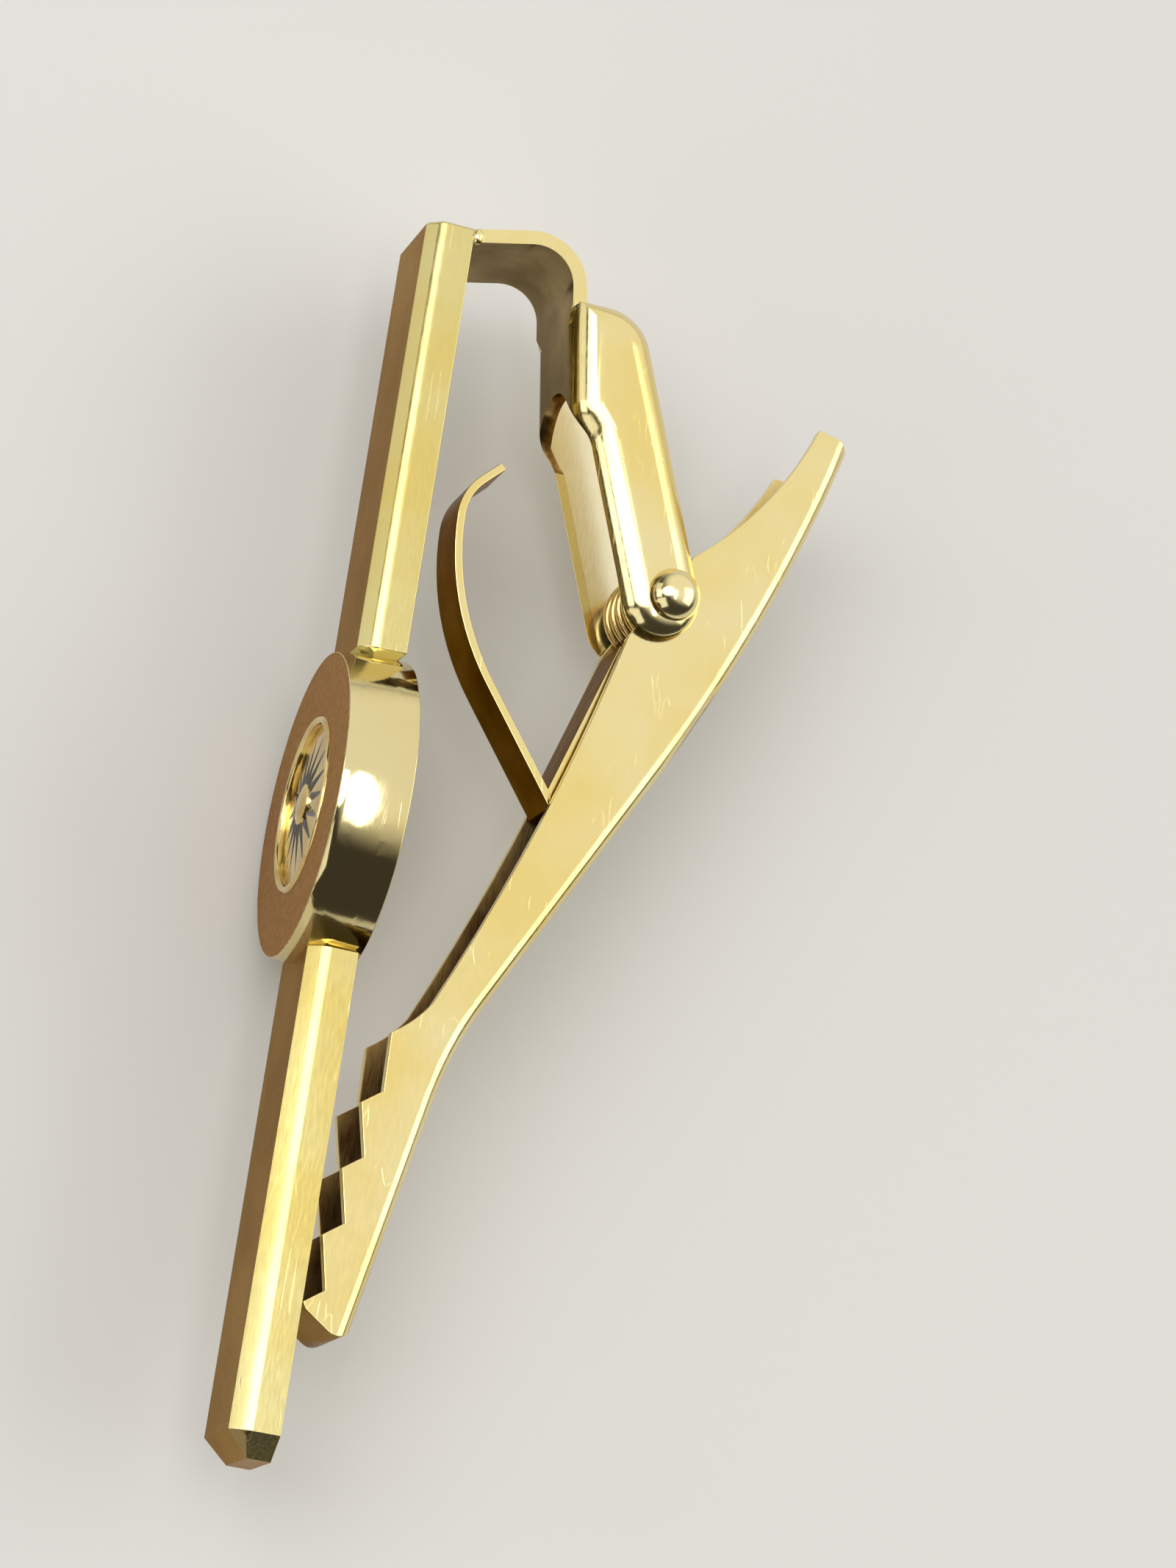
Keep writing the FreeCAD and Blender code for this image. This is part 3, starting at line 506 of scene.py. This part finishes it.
def inChannel(spot, way):
    onNoseEnd = way.x > jawSet["noseAlong"] and spot.x > jawSet["noseEnd"]
    if abs(spot.z) > jawSet["half"] or way.y > jawSet["outside"] or onNoseEnd:
        return False
    return abs(spot.z) < jawSet["half"] - jawSet["rim"] or way.z * spot.z < 0


def onNose(spot, way):
    atEnd = spot.x > jawSet["noseEnd"] - jawSet["noseDepth"]
    return atEnd and way.x > jawSet["noseAlong"] and way.z < jawSet["noseTop"]


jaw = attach(wheeled("jaw", clipGold, jawSet["edge"], jawSet["sharp"], evenSpine, jawSet["merge"]), "jaw")
# painted shade on the inner faces of the jaw's channel
finishWhere(jaw, channelShadeGold, inChannel)
# painted dark reflection on the jaw's nose end
finishWhere(jaw, darkReflectionGold, onNose)

tongueSet = {"edge": 0.05 * mm, "broad": 0.5}
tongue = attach(wheeled("tie_tongue", clipGold, tongueSet["edge"]), "jaw")
# painted shade on the tongue's broad faces
finishWhere(tongue, tongueShadeGold, lambda spot, way: abs(way.z) < tongueSet["broad"])

# solder: a small bead where the yoke's foot meets the bar's back
beadSet = {
    "place": (-29.55, -0.05, 3.03), "radius": 0.4, "squash": (1.05, 0.75, 0.7), "segments": 24, "rings": 16,
}
bpy.ops.object.select_all(action="DESELECT")
bpy.ops.mesh.primitive_uv_sphere_add(
    segments=beadSet["segments"], ring_count=beadSet["rings"], radius=beadSet["radius"] * mm)
solder = bpy.context.object
solder.name = "solderBead"
editAll(solder, "VERT")
bpy.ops.transform.resize(value=beadSet["squash"], center_override=(0, 0, 0))
bpy.ops.transform.translate(value=[c * mm for c in beadSet["place"]])
editDone()
bpy.ops.object.shade_smooth()
solder.data.materials.append(clipGold)
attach(solder, "bar")
print("solder bead set", len(solder.data.polygons), "faces")

# spring: in the clip one end stays in the yoke and the other turns with the jaw; here it is placed once and
# attached to neither body
spring = wheeled("torsion_spring", wireGold, 0)
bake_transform(spring)
print("spring set between bar and jaw")

# the camera stands where the photograph was taken from
shot = {
    "place": (59.296, -50.610, 218.071), "turn": (13.1799, -17.7878, 98.5984), "lens": 109.7187, "clip": 0.01,
}
camera = bpy.data.objects.new("camera", bpy.data.cameras.new("camera"))
bpy.context.scene.collection.objects.link(camera)
camera.location = [c * mm for c in shot["place"]]
camera.rotation_euler = [math.radians(a) for a in shot["turn"]]
camera.data.lens = shot["lens"]
camera.data.clip_start = shot["clip"]
bpy.context.scene.camera = camera

floorSet = {"size": 1.6, "colour": (0.64, 0.63, 0.61), "roughness": 0.9}
bpy.ops.object.select_all(action="DESELECT")
bpy.ops.mesh.primitive_plane_add(size=floorSet["size"], location=(0, 0, cadBox[0].z))
floor = bpy.context.object
floor.name = "floor"
floorPaint = bpy.data.materials.new("floorPaint")
floorPaint.use_nodes = True
floorShader = floorPaint.node_tree.nodes["Principled BSDF"]
floorShader.inputs["Base Color"].default_value = (*floorSet["colour"], 1)
floorShader.inputs["Roughness"].default_value = floorSet["roughness"]
floor.data.materials.append(floorPaint)

# the sky is bright over the yoke end and falls off to dark beyond the free end
room = {
    "towards": (-0.55, 0.35, 0.75), "span": (0.25, 0.75),
    "dark": (0.055, 0.05, 0.045), "bright": (0.97, 0.95, 0.9),
}
world = bpy.data.worlds.new("room")
world.use_nodes = True
sky = world.node_tree
direction = sky.nodes.new("ShaderNodeTexCoord")
facing = sky.nodes.new("ShaderNodeVectorMath")
facing.operation = "DOT_PRODUCT"
facing.inputs[1].default_value = Vector(room["towards"]).normalized()
sky.links.new(direction.outputs["Generated"], facing.inputs[0])
fade = sky.nodes.new("ShaderNodeMapRange")
fade.interpolation_type = "SMOOTHSTEP"
fade.inputs["From Min"].default_value, fade.inputs["From Max"].default_value = room["span"]
sky.links.new(facing.outputs["Value"], fade.inputs["Value"])
tones = sky.nodes.new("ShaderNodeMix")
tones.data_type = "RGBA"
tones.inputs[6].default_value = (*room["dark"], 1)
tones.inputs[7].default_value = (*room["bright"], 1)
sky.links.new(fade.outputs["Result"], tones.inputs["Factor"])
sky.links.new(tones.outputs[2], sky.nodes["Background"].inputs["Color"])
bpy.context.scene.world = world


def softbox(name, towards, distance, size, radiance, shape="RECTANGLE"):
    lamp = bpy.data.lights.new(name, "AREA")
    lamp.shape = shape
    lamp.size, lamp.size_y = size
    lamp.energy = radiance * math.pi * size[0] * size[1]
    place = bpy.data.objects.new(name, lamp)
    bpy.context.scene.collection.objects.link(place)
    away = Vector(towards).normalized()
    place.location = away * distance
    side = Vector((1, 0, 0))
    side = (side - away * side.dot(away)).normalized()
    place.rotation_euler = Matrix((side, away.cross(side), away)).transposed().to_euler()


softbox("window", (0.03, -0.93, 0.39), 0.45, (0.2, 0.18), 1.8)
softbox("skylight", (-0.12, -0.5, 0.85), 0.5, (0.32, 0.46), 2.1, "ELLIPSE")
softbox("tube", (0.05, 0.02, 0.97), 0.5, (0.34, 0.08), 3.2, "ELLIPSE")
softbox("step", (0.6, -0.65, 0.38), 0.5, (0.34, 0.34), 1.0)
softbox("rear", (-0.1, 0.81, 0.57), 0.5, (0.5, 0.36), 1.15)
softbox("fill", (-0.38, -0.88, 0.26), 0.5, (0.26, 0.22), 0.85)
bpy.context.scene.view_settings.view_transform = "Standard"
print("camera, floor and light set")
